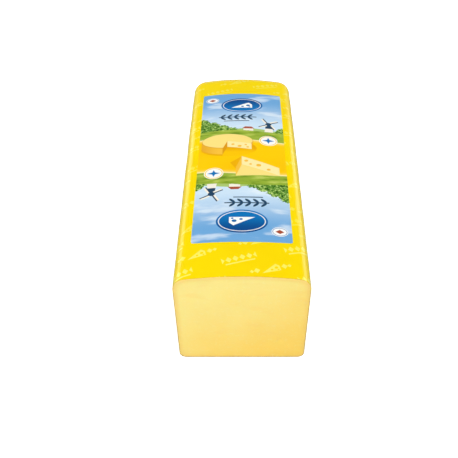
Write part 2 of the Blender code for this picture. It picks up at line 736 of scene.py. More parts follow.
@dataclass
class LoafShell:
    """Models a closed loaf: a section stood up at the cut, then pulled back and rounded off."""

    name: str
    form: LoafForm
    columns: int = 11
    rows: int = 7
    body_rings: int = 62
    end_rings: int = 12
    corner_steps: int = 6

    def build(self) -> Bench:
        """Model the loaf.

        Returns:
            The bench, still in edit mode, with the closed loaf on it.
        """
        form = self.form
        centre = Vector((0.0, form.cut_y, form.floor + form.height / 2))
        size = (2 * form.half_width, 1.0, form.height)
        bench = Bench(self.name, (self.columns, self.rows), centre, size, math.pi / 2)
        self._crown_top(bench)
        self._narrow_foot(bench)
        self._round_corners(bench)
        bpy.ops.mesh.select_all(action="SELECT")
        rings = [form.cut_y, *self._stations()]
        for last, y in zip(rings, rings[1:]):
            self._pull_ring(last, y)
        return bench

    def _stations(self) -> list[float]:
        """Where every ring after the cut's lies: even along the body, then round the end's arc.

        Returns:
            Their y.
        """
        form = self.form
        body = form.arc_start - form.cut_y
        straight = [form.cut_y + body * (ring + 1) / self.body_rings for ring in range(self.body_rings)]
        turns = (math.pi / 2 * (ring + 1) / self.end_rings for ring in range(self.end_rings))
        return straight + [form.arc_start + form.end_corner_radius * math.sin(turn) for turn in turns]

    def _crown_top(self, bench: Bench) -> None:
        """Lower the top's columns towards the sides, along the crown.

        Args:
            bench: Holds the flat section.
        """
        form = self.form
        near = form.half_width / self.columns / 2
        for column in range(self.columns // 2 + 1):
            x = form.half_width * (1 - 2 * column / self.columns)
            bench.pick(Part.POINTS, lambda at, x=x: abs(abs(at.x) - x) < near and at.z > form.top - near)
            bench.move((0.0, 0.0, -form.crown_drop(x)))

    def _narrow_foot(self, bench: Bench) -> None:
        """Draw the lower rows in, down to the foot's width.

        Args:
            bench: Holds the flat section.
        """
        form = self.form
        for row in range(self.rows):
            z = form.floor + form.height * row / self.rows
            narrow = 1 - (1 - form.foot_half_width / form.half_width) * (1 - row / self.rows)
            bench.pick(Part.POINTS, lambda at, z=z: abs(at.z - z) < form.height / self.rows / 4)
            bench.stretch((narrow, 1.0, 1.0), (0.0, form.cut_y, z))

    def _round_corners(self, bench: Bench) -> None:
        """Round the section's four corners.

        Args:
            bench: Holds the flat section.
        """
        form = self.form
        lean = math.atan(2 * form.crown_rise / form.half_width)
        reach = form.shoulder_radius / math.tan((math.pi / 2 + lean) / 2)
        side = form.half_width * 0.99
        shoulder = form.top - 1.5 * form.crown_rise
        bench.pick(Part.POINTS, lambda at: abs(at.x) > side and at.z > shoulder)
        bpy.ops.mesh.bevel(offset=reach, segments=self.corner_steps, affect="VERTICES")
        bench.pick(Part.POINTS, lambda at: abs(at.x) > side and at.z < form.floor + MM)
        bpy.ops.mesh.bevel(offset=form.foot_radius, segments=self.corner_steps, affect="VERTICES")

    def _pull_ring(self, last: float, y: float) -> None:
        """Extrude the selected section back and fit it to the form there.

        Args:
            last: Where the section stands.
            y: Where it goes.
        """
        form = self.form
        bpy.ops.mesh.extrude_region_move(TRANSFORM_OT_translate={"value": (0.0, y - last, 0.0)})
        old_width, old_height, old_lift = form.fit(last)
        width, height, lift = form.fit(y)
        Bench.stretch((width / old_width, 1.0, height / old_height), (0.0, y, form.floor + old_lift))
        Bench.move((0.0, 0.0, lift - old_lift))


# ---- Finishes ----


def srgb(red: int, green: int, blue: int) -> Colour:
    """Linear colour of an 8-bit display colour."""
    shares = (red / 255, green / 255, blue / 255)
    return tuple(s / 12.92 if s <= 0.04045 else ((s + 0.055) / 1.055) ** 2.4 for s in shares)


class Coat:
    """A new material with a Principled shader, and what every finish does to it."""

    def __init__(self, name: str, **values: Feed) -> None:
        """Make the material.

        Args:
            name: Name of the material.
            values: The shader's inputs, underscores standing for spaces.
        """
        self.material = bpy.data.materials.new(name)
        self.material.use_nodes = True
        self.w = Wiring(self.material.node_tree)
        self.shader = self.w.fill(self.w.tree.nodes["Principled BSDF"], **values)

    @cached_property
    def place(self) -> Value:
        """Object coordinates."""
        return self.w.source("TexCoord", "Object")

    def cloudy_roughness(self, middle: float, swing: float, scale: float, detail: float) -> None:
        """Let the roughness vary over the surface.

        Args:
            middle: Its middle value.
            swing: Full span of its change.
            scale: Scale of the noise.
            detail: Detail of the noise.
        """
        cloud = self.w.noise(self.place, scale, detail)
        self.w.fill(self.shader, Roughness=cloud * swing + (middle - swing / 2))

    def relief(self, height: Value, strength: float = 1.0) -> None:
        """Raise the surface by a height in metres, for the light only.

        Args:
            height: The height.
            strength: Share of it that shows.
        """
        bump = self.w.fill(self.w.add("Bump"), Strength=strength, Distance=1.0, Height=height)
        self.w.fill(self.shader, Normal=Value(self.w, bump.outputs[0]))

    def crinkled(self, effects: Effects, swell: float, crease: float) -> None:
        """Give the surface the relief of a tight plastic sheet.

        Args:
            effects: The shared shader groups.
            swell: Height of its soft swells, in metres.
            crease: Height of its fine creases.
        """
        node = self.w.group(effects.crinkle, Place=self.place, Swell=swell, Crease=crease)
        self.relief(Value(self.w, node.outputs["Height"]))


@dataclass(frozen=True)
class CheeseFinish:
    """Cut gouda: pale and creamy, with painted shade that makes it warmer and deeper low down and to the
    right, and a thin drier band under the film.
    """

    # The first two colours are the cut face as lit and in painted shade: the face blends from the pale one to
    # the deeper, warmer one towards the lower right.
    pale: Colour = srgb(255, 233, 142)
    shaded_warm: Colour = srgb(255, 212, 96)
    rind: Colour = srgb(252, 206, 108)
    fleck: Colour = srgb(255, 243, 186)
    roughness: float = 0.42
    rind_band: tuple[float, float] = (5.0 * MM, 0.3 * MM)
    rind_share: float = 0.6
    smear_share: float = 0.2
    fleck_share: float = 0.16
    grain_height: float = 0.00003
    stroke_height: float = 0.00012

    def make(self, form: LoafForm) -> bpy.types.Material:
        """Build the material.

        Args:
            form: The cheese's form, for the distance to its outline.

        Returns:
            The material.
        """
        coat = Coat(
            "cut_cheese",
            Subsurface_Weight=0.25,
            Subsurface_Radius=(1.0, 0.62, 0.25),
            Subsurface_Scale=0.006,
            Specular_IOR_Level=0.35,
        )
        w, place = coat.w, coat.place
        across, _, up = w.axes(place)

        # Painted shade: warmer and deeper towards the lower right, as if lit from the upper left, broken up
        # by soft clouds of random tone and faint smears.
        tone = across * 5.0 - up * 8.5 + 0.62 + w.noise(place, 28.0, 3.0) * 0.5
        body = w.blend(w.step(tone, 0.0, 1.1), self.pale, self.shaded_warm)
        smear = w.step(w.noise(place, 75.0, 3.0, (0.6, 1.0, 1.6)), 0.56, 0.74)
        body = w.blend(smear * self.smear_share, body, self.rind)
        fleck = w.step(w.noise(place, 420.0, 4.0), 0.52, 0.72)
        body = w.blend(fleck * self.fleck_share, body, self.fleck)

        # The rind shows as a band along the outline of the cut face.
        side = form.half_width - abs(across)
        above = form.top - across * across * (form.crown_rise / form.half_width**2) - up
        edge = w.math("SMOOTH_MIN", side, above, 0.012)
        edge = w.math("SMOOTH_MIN", edge, up - form.floor, 0.008)
        rind = w.step(edge, *self.rind_band)
        w.fill(coat.shader, Base_Color=w.blend(rind * self.rind_share, body, self.rind))
        coat.cloudy_roughness(self.roughness, 0.2, 140.0, 3.0)

        # Fine grain and the faint strokes of the knife.
        grain = w.noise(place, 900.0, 4.0) * self.grain_height
        stroke = w.noise(place, 60.0, 2.0, (0.25, 1.0, 9.0)) * self.stroke_height
        coat.relief(grain + stroke, 0.6)
        return coat.material


@dataclass(frozen=True)
class FilmFinish:
    """Glossy yellow film, plain or with rows of paler printed marks."""

    effects: Effects
    printed: bool = True
    yellow: Colour = srgb(255, 224, 0)
    deep: Colour = srgb(254, 215, 0)
    # Painted shade on the film's cut edge, and a deeper painted contact shadow where the edge meets the
    # floor.
    shaded_cut_edge: Colour = srgb(230, 190, 50)
    foot_contact_shadow: Colour = srgb(172, 140, 62)
    print_tone: Colour = srgb(255, 254, 122)
    print_share: float = 0.78
    worn_share: float = 0.42
    roughness: float = 0.2
    crinkle: tuple[float, float] = (0.00025, 0.00008)

    # The marks' layout, in millimetres: tilt in degrees, cell size, and pitch of the beads.
    tilt: float = -16.0
    cell: tuple[float, float] = (48.0, 15.0)
    bead: float = 5.2

    def make(self, form: LoafForm) -> bpy.types.Material:
        """Build the material.

        Args:
            form: The film's form, for where the print stops at the end.

        Returns:
            The material.
        """
        coat = Coat("printed_film" if self.printed else "plain_film", Specular_IOR_Level=0.4)
        w, place = coat.w, coat.place
        cloud = w.step(w.noise(place, 16.0), 0.45, 0.75)
        base = w.blend(cloud * 0.5, self.yellow, self.deep)
        if self.printed:
            base = w.blend(self._print(coat, form), base, self.print_tone)

        # The film's thin edge at the cut, painted darker as shade, and darker still towards the foot as a
        # painted contact shadow.
        _, along, up = w.axes(place)
        painted_edge_shade = w.blend(w.step(up, 0.06, 0.004), self.shaded_cut_edge, self.foot_contact_shadow)
        rim = w.step(along, form.cut_y + 0.4 * MM, form.cut_y + 0.2 * MM)
        w.fill(coat.shader, Base_Color=w.blend(rim, base, painted_edge_shade))
        coat.cloudy_roughness(self.roughness, 0.12, 70.0, 3.0)
        coat.crinkled(self.effects, *self.crinkle)
        return coat.material

    def _print(self, coat: Coat, form: LoafForm) -> Value:
        """Share of the printed marks: patchy, palest far from the cut, none on the end's flat.

        Args:
            coat: The material.
            form: The film's form.

        Returns:
            The share.
        """
        w = coat.w
        roll = w.source("UVMap", "UV", uv_map=FILM_ROLL)
        along = w.axes(roll)[1]
        fade = w.step(along, form.end_y + 16 * MM, form.end_y + 8 * MM)
        patchy = w.noise(coat.place, 90.0) * 0.6 + 0.55
        near_cut = w.step(along, form.cut_y + 50 * MM, form.cut_y + 25 * MM)
        strength = near_cut * (self.print_share - self.worn_share) + self.worn_share
        return self._marks(roll) * fade * patchy * strength

    def _marks(self, roll: Value) -> Value:
        """Mask of tilted rows of marks: a wedge between lozenges, and a band of lozenges, in turn.

        Args:
            roll: Place on the unrolled film, in metres.

        Returns:
            The mask.
        """
        w, (pitch_x, pitch_y) = roll.w, self.cell
        in_mm = (1 / MM, 1 / MM, 1 / MM)
        turned = w.run(w.add("Mapping"), roll, (0.0, 0.0, 0.0), (0.0, 0.0, math.radians(self.tilt)), in_mm)
        across, along, _ = w.axes(turned)

        # Every mark sits in the middle of its own cell, and each second row is set off sideways.
        odd = abs(w.math("MODULO", w.math("FLOOR", along / pitch_y), 2.0))
        cell_x = (odd * (pitch_x * 0.4) + across) % pitch_x - pitch_x / 2
        cell_y = along % pitch_y - pitch_y / 2

        cell = Pen(self.effects, w.join(cell_x, cell_y))
        sides = Pen(self.effects, w.join(abs(cell_x), cell_y))
        outer = [sides.draw(Shape.LOZENGE, x, 0.0, half, half) for x, half in ((10.4, 2.2), (14.2, 1.4))]
        first = w.either(cell.cheese_wedge(0.0, 0.0, 0.75), *outer)

        bead_x = cell_x % self.bead - self.bead / 2
        beads = Pen(self.effects, w.join(bead_x, cell_y)).draw(Shape.LOZENGE, 0.0, 0.9, 2.1, 2.6)
        inside = w.step(abs(cell_x), 2.5 * self.bead + 0.1, 2.5 * self.bead - 0.1)
        second = w.either(beads * inside, cell.draw(Shape.PANEL, 0.0, -3.4, 11.0, 0.5, 0.45))
        return first + odd * (second - first)


@dataclass(frozen=True)
class LabelFinish:
    """Colours of the label's print, and where its fields end, in millimetres from its middle."""

    effects: Effects
    deep_sky: Colour = srgb(112, 170, 220)
    pale_sky: Colour = srgb(208, 231, 248)
    cloud: Colour = srgb(236, 246, 253)
    gold: Colour = srgb(255, 207, 0)
    amber: Colour = srgb(254, 199, 0)
    far_hill: Colour = srgb(172, 200, 112)
    meadow: tuple[Colour, Colour, Colour] = (srgb(108, 142, 34), srgb(150, 178, 56), srgb(190, 206, 92))
    hedge: tuple[Colour, Colour, Colour] = (srgb(26, 70, 14), srgb(92, 146, 44), srgb(196, 222, 128))
    navy: Colour = srgb(6, 74, 140)
    azure: Colour = srgb(10, 116, 186)
    slate: Colour = srgb(34, 68, 96)
    white: Colour = srgb(252, 252, 248)
    cheese_top: Colour = srgb(254, 228, 132)
    cheese_side: Colour = srgb(250, 196, 62)
    cheese_line: Colour = srgb(222, 150, 20)
    cut_cheese: Colour = srgb(255, 238, 168)
    shade: Colour = srgb(228, 150, 0)
    roof: Colour = srgb(170, 78, 52)
    wall: Colour = srgb(246, 240, 224)
    gold_half: float = 24.5
    meadow_edge: float = 39.0
    half_length: float = 110.5
    plaque_at: float = 87.0
    roughness: float = 0.32
    crinkle: tuple[float, float] = (0.00012, 0.00003)

    def make(self, centre: Vector) -> bpy.types.Material:
        """Build the material.

        Args:
            centre: Centre of the label.

        Returns:
            The material.
        """
        coat = Coat("picture_label", Specular_IOR_Level=0.2)
        middle = tuple(-part / MM for part in centre)
        in_mm = (1 / MM, 1 / MM, 1 / MM)
        spot = coat.w.run(coat.w.add("Mapping"), coat.place, middle, (0.0, 0.0, 0.0), in_mm)
        picture = Picture(self, Pen(self.effects, spot))
        coat.w.fill(coat.shader, Base_Color=picture.painted())
        coat.cloudy_roughness(self.roughness, 0.1, 110.0, 2.0)
        coat.crinkled(self.effects, *self.crinkle)
        return coat.material


class Picture:
    """Label print, in millimetres from its centre: a golden field with cheese across the middle.

    Towards both ends follow meadow, trees and sky with a blue plaque. Both ends are alike, each the
    right way up for someone who stands behind the other.
    """

    def __init__(self, tones: LabelFinish, whole: Pen) -> None:
        """Start with pale sky all over.

        Args:
            tones: The print's colours and fields.
            whole: Draws over the whole label.
        """
        self.tones = tones
        self.whole = whole
        self.w = whole.w
        self.colour = tones.pale_sky

        # Half the label, drawn twice: outward along y, and turned round with it across.
        turned = whole.across * self.w.math("SIGN", whole.along)
        self.half = Pen(whole.effects, self.w.join(turned, abs(whole.along)))

    def painted(self) -> Value:
        """Paint the picture from the back to the front.

        Returns:
            Its colour.
        """
        self._sky()
        self._hills()
        self._windmill()
        self._gold_field()
        self._wheel()
        self._wedge()
        self._plaque()
        self._badge()
        self._seal()
        return self.colour

    def _paint(self, mask: Value, tone: Feed, share: float = 1.0) -> None:
        """Lay a colour over what is there, where a mask says.

        Args:
            mask: Where the colour goes.
            tone: The colour.
            share: How much of it covers what is there.
        """
        cover = mask if share == 1.0 else mask * share
        self.colour = self.w.blend(cover, self.colour, tone)

    def _sky(self) -> None:
        """Sky: deeper towards the ends, with streaks of cloud."""
        tones, w = self.tones, self.w
        deep = w.step(self.half.along, tones.meadow_edge + 6.0, tones.half_length - 14.0)
        self._paint(deep, tones.deep_sky)
        streak = w.noise(self.whole.place, 0.05, 3.0, (0.5, 1.6, 1.0))
        self._paint(w.step(streak, 0.5, 0.66), tones.cloud, 0.6)

    def _hills(self) -> None:
        """A far hill, a barn, clumps of round trees and the meadow in front of them."""
        w, half, place, tones = self.w, self.half, self.whole.place, self.tones
        edge = tones.meadow_edge
        ridge = half.along - half.wave(2.0, 66.0, 0.9)
        self._paint(w.step(ridge, edge + 3.4, edge + 3.0), tones.far_hill)

        barn = half.moved(6.0, edge + 1.0)
        self._paint(barn.polygon((-4.5, 0.0), (4.5, 0.0), (4.5, 4.6), (-4.5, 4.6)), tones.wall)
        self._paint(barn.polygon((-5.5, 4.2), (5.5, 4.2), (3.0, 7.2), (-3.0, 7.2)), tones.roof)

        leafy = half.roughened(3.0, 0.42)
        trees = (
            (-37.0, 12.0, 23.0),
            (-27.0, 9.5, 17.0),
            (-18.0, 8.0, 11.0),
            (-10.0, 6.0, 7.0),
            (38.0, 6.5, 8.0),
        )
        clumps = [leafy.oval(x, edge, wide, tall) for x, wide, tall in trees]
        speckle = w.noise(place, 0.5, 4.0, Roughness=0.7)
        self._paint(w.either(*clumps), self._mottled(speckle, 0.12, tones.hedge))

        front = half.wave(1.6, 92.0, 2.2) + w.noise(place, 0.8) * 1.2
        meadow = w.step(half.along - front, edge + 0.4, edge - 0.2)
        streak = w.noise(place, 0.12, 3.0, (0.5, 2.0, 1.0))
        self._paint(meadow, self._mottled(streak, 0.2, tones.meadow))

    def _mottled(self, noise: Value, span: float, greens: tuple[Colour, Colour, Colour]) -> Value:
        """Three greens in patches.

        Args:
            noise: What lays them out, dark where it is low.
            span: How far from the noise's middle a green is pure.
            greens: Dark, middle and light.

        Returns:
            The colour.
        """
        dark, middle, light = greens
        base = self.w.blend(self.w.step(noise, 0.5 - span, 0.5), dark, middle)
        return self.w.blend(self.w.step(noise, 0.5, 0.5 + span), base, light)

    def _windmill(self) -> None:
        """A windmill, 20 mm tall, on the meadow's edge."""
        tones = self.tones
        pen = self.half.moved(25.0, tones.meadow_edge + 1.0)
        self._paint(pen.polygon((-4.0, -1.0), (4.0, -1.0), (3.2, 5.0), (-3.2, 5.0)), tones.wall)
        self._paint(pen.polygon((-3.2, 5.0), (3.2, 5.0), (2.2, 12.5), (-2.2, 12.5)), tones.slate)
        hub = pen.moved(0.0, 12.6)
        self._paint(hub.oval(0.0, 0.0, 2.7, 2.3), tones.slate)
        for quarter in range(4):
            turn = math.radians(28 + 90 * quarter)
            self._paint(hub.blade(turn, (2.6, 10.2), (0.3, 2.1)), tones.wall)
            self._paint(hub.blade(turn, (0.0, 10.5), (-0.45, 0.45)), tones.slate)

    def _gold_field(self) -> None:
        """The golden middle, paler along its wavy edges."""
        tones, w, half = self.tones, self.w, self.half
        edge = half.along - half.wave(2.6, 120.0, 2.6) - tones.gold_half
        inside = w.step(edge, 0.25, 0.0)
        self._paint(inside, tones.gold)
        self._paint(inside * w.step(w.noise(self.whole.place, 0.02, 1.0), 0.35, 0.7), tones.amber)
        self._paint(inside * w.step(edge, -5.0, 0.0), tones.cheese_top, 0.6)
        self._paint(w.step(abs(edge), 1.0, 0.5), tones.cut_cheese)

    def _wheel(self) -> None:
        """A flat cheese wheel with a wedge taken out, 46 mm wide."""
        tones, w = self.tones, self.w
        pen = self.whole.moved(-13.0, 18.0)
        shadow = pen.oval(1.5, -6.5, 24.5, 11.5)
        self._paint(shadow, tones.shade, 0.55)
        wall = w.either(pen.oval(0.0, -4.0, 23.0, 11.5), pen.draw(Shape.PANEL, 0.0, 0.5, 23.0, 4.5, 0.1))
        self._paint(wall, tones.cheese_side)
        self._paint(wall * w.step(pen.across, -6.0, -23.0), tones.cheese_line, 0.5)
        top = pen.oval(0.0, 5.0, 23.0, 11.5)
        self._paint(top, tones.cheese_line, 0.7)
        self._paint(pen.oval(0.0, 5.5, 22.5, 11.0), tones.cheese_top)
        gap = pen.polygon((0.0, 5.0), (-4.0, -6.3), (-4.0, -18.0), (25.0, -18.0), (25.0, 0.45))
        gap = gap * w.either(wall, top, shadow)
        self._paint(gap, tones.amber)
        self._paint(gap * w.step(pen.along, -13.0, -5.0), tones.shade, 0.6)
        self._paint(pen.polygon((-4.0, -15.3), (0.0, -4.0), (0.0, 5.0), (-4.0, -6.3)), tones.cheese_line, 0.8)
        self._paint(pen.polygon((0.0, -4.0), (21.6, -7.9), (21.6, 1.1), (0.0, 5.0)), tones.cut_cheese)
        self._holes(pen, ((5.0, -0.2, 1.3), (11.0, -3.2, 1.7), (16.5, -0.8, 1.0), (18.2, -4.6, 1.1)))

    def _wedge(self) -> None:
        """A wedge of cheese, 37 mm wide."""
        tones = self.tones
        pen = self.whole.moved(14.0, -19.0, turned=True)
        self._paint(pen.polygon((-18.0, -3.0), (14.0, -18.0), (24.0, -9.0), (19.0, 0.0)), tones.shade, 0.5)
        self._paint(pen.polygon((14.0, -18.0), (19.0, -2.0), (19.0, 10.0), (14.0, -6.0)), tones.cheese_side)
        self._paint(pen.polygon((-18.0, -3.0), (14.0, -18.0), (14.0, -6.0), (-18.0, 8.0)), tones.cut_cheese)
        self._paint(pen.polygon((-18.0, 8.0), (14.0, -6.0), (19.0, 10.0)), tones.cheese_top)
        self._holes(pen, ((-9.0, 0.4, 1.5), (-0.5, -5.2, 2.0), (6.5, -6.6, 1.1), (10.2, -11.5, 1.6)))

    def _holes(self, pen: Pen, holes: tuple[Triple, ...]) -> None:
        """Paint the eyes in a cut face, each by its x, y and radius."""
        for x, y, radius in holes:
            self._paint(pen.oval(x, y, radius, radius * 0.85), self.tones.cheese_side)

    def _plaque(self) -> None:
        """A blue oval with a plain wedge, and a dark sprig under it."""
        tones, half = self.tones, self.half
        at = tones.plaque_at
        plaque = half.oval(0.0, at, 20.0, 13.5)
        self._paint(plaque, tones.azure)
        self._paint(plaque * self.w.step(half.along, at - 8.0, at + 10.0), tones.navy)
        self._paint(half.ring(0.0, at, 18.4, 11.9, 0.8), tones.white, 0.85)
        self._paint(half.cheese_wedge(0.0, at, 1.1), tones.white)
        self._paint(self._sprig(half.moved(-5.0, at - 22.5)), tones.slate)

    def _sprig(self, pen: Pen) -> Value:
        """A lying sprig with pairs of leaves, about 36 mm long, over a thin line.

        Args:
            pen: Draws it about its zero.

        Returns:
            Its mask.
        """
        w, pitch, reach = self.w, 6.4, 16.0
        beside = abs(pen.along)
        leaned = (pen.across + pitch / 2) % pitch - (beside * 0.75 + 1.4)
        leaf = Pen(pen.effects, w.join(leaned, beside)).oval(0.0, 2.5, 1.5, 2.3)
        inside = w.step(abs(pen.across), reach, reach - 0.3)
        stem = pen.draw(Shape.PANEL, 1.0, 0.0, reach + 2.0, 0.5, 0.4)
        return w.either(leaf * inside, stem, pen.draw(Shape.PANEL, 0.0, -7.0, 12.0, 0.45, 0.4))

    def _badge(self) -> None:
        """A small white badge with a lozenge, beside the plaque."""
        tones = self.tones
        pen = self.half.moved(-29.0, tones.plaque_at + 11.0)
        self._paint(pen.oval(0.0, 0.0, 6.2, 5.0), tones.white)
        self._paint(pen.ring(0.0, 0.0, 5.6, 4.4, 0.5), tones.azure)
        self._paint(pen.draw(Shape.LOZENGE, 0.0, 0.0, 3.2, 2.2), tones.roof)

    def _seal(self) -> None:
        """A round white seal with a gold ring and a four-pointed star."""
        tones = self.tones
        pen = self.half.moved(24.0, tones.gold_half)
        self._paint(pen.oval(0.0, 0.0, 8.2, 7.8), tones.white)
        self._paint(pen.ring(0.0, 0.0, 7.5, 7.1, 0.8), tones.gold)
        points = [pen.draw(Shape.LOZENGE, 0.0, 0.0, *half) for half in ((5.0, 1.7), (1.7, 4.6))]
        self._paint(self.w.either(*points), tones.azure)


# ---- The block's pieces ----


class SubAssembly:
    """One piece of the block: a subclass models it in build, and its finish dresses it."""

    form: LoafForm
    finish: CheeseFinish | FilmFinish | LabelFinish

    def dress(self, piece: Piece) -> None:
        """Give the piece its finish."""
        piece.data.materials.append(self.finish.make(self.form))


@dataclass
class CheeseBody(SubAssembly):
    """The cheese inside the film; only its cut face shows."""

    form: LoafForm
    finish: CheeseFinish
    edge_round: float = 0.0005
    face_swell: float = 0.0004
    pit_depth: float = 0.0007

    # Width of each kind of swell on the cut face, and its share of the swells' height.
    swells: tuple[tuple[float, float], ...] = ((0.03, 1.0), (0.009, 0.3))

    # Small eyes in the cut: how far right of the middle, how far up, and radius, in millimetres.
    pits: tuple[Triple, ...] = (
        (7.5, 73.0, 1.5),
        (3.0, 52.0, 1.2),
        (-21.0, 61.0, 1.4),
        (33.0, 49.0, 1.0),
        (29.0, 21.0, 2.0),
        (35.0, 15.5, 1.4),
        (8.0, 38.0, 1.5),
        (-12.0, 27.0, 1.1),
        (-34.0, 40.0, 1.6),
        (-27.0, 12.0, 1.2),
    )

    def build(self) -> Piece:
        """Model the cheese.

        Returns:
            The finished piece.
        """
        bench = LoafShell("cheese", self.form).build()
        bench.pick(Part.FACES, self.form.at_cut)
        bpy.ops.mesh.subdivide(number_cuts=3)
        bench.pick(Part.FACES, self.form.at_cut)
        bpy.ops.mesh.region_to_loop()
        bpy.ops.mesh.bevel(offset=self.edge_round, segments=2, affect="EDGES")
        piece = bench.close()
        apply_modifier(piece, "SUBSURF", levels=1, render_levels=1)
        for size, share in self.swells:
            ripple(piece, size, self.face_swell * share, self._on_face)
        press(piece, self.pit_depth, self._in_pit)
        return piece

    def _in_pit(self, at: Vector) -> float:
        """How deep a place of the cut face lies in one of the small eyes.

        Args:
            at: The place.

        Returns:
            Share of a pit's depth.
        """
        if at.y > self.form.cut_y + MM:
            return 0.0
        depths = (1 - math.hypot(at.x / MM - x, at.z / MM - z) / radius for x, z, radius in self.pits)
        return ease(max(depths), 0.0, 0.8)

    def _on_face(self, at: Vector) -> float:
        """Relief at a place: full on the cut face, none near its outline.

        Args:
            at: The place.

        Returns:
            Share of the relief.
        """
        form = self.form
        across = form.half_width - abs(at.x)
        up = min(at.z - form.floor, form.top - form.crown_drop(at.x) - at.z)
        return ease(min(across, up), 1.5 * MM, 8 * MM) if at.y < form.cut_y + MM else 0.0


@dataclass
class FilmWrap(SubAssembly):
    """The film: a thin skin over the loaf, open at the cut, drawn tight with soft swells."""

    form: LoafForm
    finish: FilmFinish
    thickness: float = 0.00015
    swell: float = 0.0005
    swell_size: float = 0.024
    fold_height: float = 0.0007
    fold_width: float = 0.0024

    # The tucks: where they leave the seam, as x and share of the height, and x and z of their ends.
    fold_start: tuple[float, float] = (0.036, 0.45)
    fold_ends: tuple[tuple[float, float], ...] = ((0.050, 0.084), (0.050, 0.006))

    def build(self) -> Piece:
        """Model the film.

        Returns:
            The finished piece.
        """
        bench = LoafShell("film", self.form).build()
        bench.pick(Part.FACES, self.form.at_cut)
        bpy.ops.mesh.delete(type="FACE")
        piece = bench.close()
        apply_modifier(piece, "SUBSURF", levels=1, render_levels=1)
        self._unroll(piece)
        ripple(piece, self.swell_size, self.swell, self._free, middle=0.35)
        press(piece, self.fold_height, self._on_fold, "NORMAL")
        thicken(piece, self.thickness, -1.0)
        return piece

    def _on_fold(self, at: Vector) -> float:
        """Height of a tuck at a place: four folds run from the seam out to the end's corners.

        Args:
            at: The place.

        Returns:
            Share of the tuck's full height.
        """
        form = self.form
        seam = Vector((self.fold_start[0], form.floor + form.height * self.fold_start[1]))
        here = Vector((abs(at.x), at.z))
        share = 0.0
        for x, z in self.fold_ends:
            along = Vector((x, form.floor + z)) - seam
            run = max(0.0, min(1.0, (here - seam).dot(along) / along.length_squared))
            away = (here - seam - along * run).length
            share = max(share, math.exp(-((away / self.fold_width) ** 2)) * (1 - 0.5 * run))
        return share * ease(at.y, form.arc_start, form.end_y - 4 * MM)

    def _free(self, at: Vector) -> float:
        """How far the film may swell: held at the cut and flat underneath."""
        form = self.form
        return ease(at.y, form.cut_y + 2 * MM, form.cut_y + 14 * MM) * ease(at.z, 2 * MM, 9 * MM)

    def _unroll(self, piece: Piece) -> None:
        """Lay the film out flat in a UV map: girth across, from the crown's middle, length along.

        Args:
            piece: The film.
        """
        form = self.form
        mesh = piece.data
        outline = self._outline(mesh)
        roll = [self._rolled(point.co, outline) for point in mesh.vertices]
        layer = mesh.uv_layers.new(name=FILM_ROLL)
        girth = outline[-1][0] - outline[0][0]
        for face in mesh.polygons:
            corners = [roll[mesh.loops[loop].vertex_index] for loop in face.loop_indices]
            wraps = max(c[0] for c in corners) - min(c[0] for c in corners) > girth / 2
            for loop, (across, along) in zip(face.loop_indices, corners):
                layer.data[loop].uv = (across + girth if wraps and across < 0 else across, along)
        log.info("film unrolled: girth %.1f mm, length %.1f mm", girth / MM, (form.end_y - form.cut_y) / MM)

    def _outline(self, mesh: bpy.types.Mesh) -> list[Triple]:
        """The section at the cut, from the middle of the underside round and back to it.

        Args:
            mesh: The film's mesh.

        Returns:
            Distance from the crown's middle, x and z of each point, with the first point repeated.
        """
        middle = self.form.floor + self.form.height / 2
        ring = [point.co.copy() for point in mesh.vertices if self.form.at_cut(point.co)]
        ring.sort(key=lambda at: math.atan2(at.x, at.z - middle))
        ring.append(ring[0])
        lengths = [0.0]
        for near, far in zip(ring, ring[1:]):
            lengths.append(lengths[-1] + (far - near).length)
        crown = lengths[-1] / 2
        return [(length - crown, at.x, at.z) for length, at in zip(lengths, ring)]

    def _rolled(self, at: Vector, outline: list[Triple]) -> tuple[float, float]:
        """Place of one point on the unrolled film.

        Args:
            at: The point.
            outline: The section at the cut.

        Returns:
            How far across and how far along.
        """
        form = self.form
        width, height, lift = form.fit(at.y)
        x, z = at.x / width, form.floor + (at.z - form.floor - lift) / height
        away, across = min((math.hypot(x - px, z - pz), length) for length, px, pz in outline)
        turn = max(0.0, min(1.0, (at.y - form.arc_start) / form.end_corner_radius))
        along = min(at.y, form.arc_start) + form.end_corner_radius * math.asin(turn)
        flat = at.y > form.end_y - 0.1 * MM
        return across, along + (away * width if flat else 0.0)


@dataclass
class EndSeal(SubAssembly):
    """The film's welded seam: a ribbed fin, pressed flat against the rounded end."""

    form: LoafForm
    finish: FilmFinish
    width: float = 0.072
    drop: float = 0.009
    cells: tuple[int, int] = (72, 36)
    height_share: float = 0.45
    rib_pitch: float = 0.0015
    rib_height: float = 0.00025
    swell: float = 0.0008
    swell_size: float = 0.012
    thickness: float = 0.0003
    lift: float = 0.0003

    @property
    def middle_z(self) -> float:
        """Height of the seam's middle line."""
        return self.form.floor + self.form.height * self.height_share

    def build(self, film: Piece) -> Piece:
        """Model the seam.

        Args:
            film: The film that it lies on.

        Returns:
            The finished piece.
        """
        place = Vector((0.0, self.form.end_y + 10 * MM, self.middle_z))
        piece = Bench("end_seal", self.cells, place, (self.width, 1.0, self.drop), -math.pi / 2).close()
        lay_on(piece, film, "y", self.lift)
        ripple(piece, self.swell_size, self.swell, self._loose, middle=0.3)
        press(piece, self.rib_height, self._on_rib)
        thicken(piece, self.thickness, 1.0)
        return piece

    def _loose(self, at: Vector) -> float:
        """How far a place may swell: freely below the weld, hardly above it."""
        return ease(self.middle_z - at.z, -2 * MM, 4 * MM)

    def _on_rib(self, at: Vector) -> float:
        """Height of a rib at a place: level weld lines across the upper part of the seam.

        Args:
            at: The place.

        Returns:
            Share of a rib's full height.
        """
        above = at.z - (self.middle_z - self.drop / 6)
        wave = 0.5 - 0.5 * math.cos(math.tau * above / self.rib_pitch)
        return wave * ease(above, 0.0, 0.5 * MM)


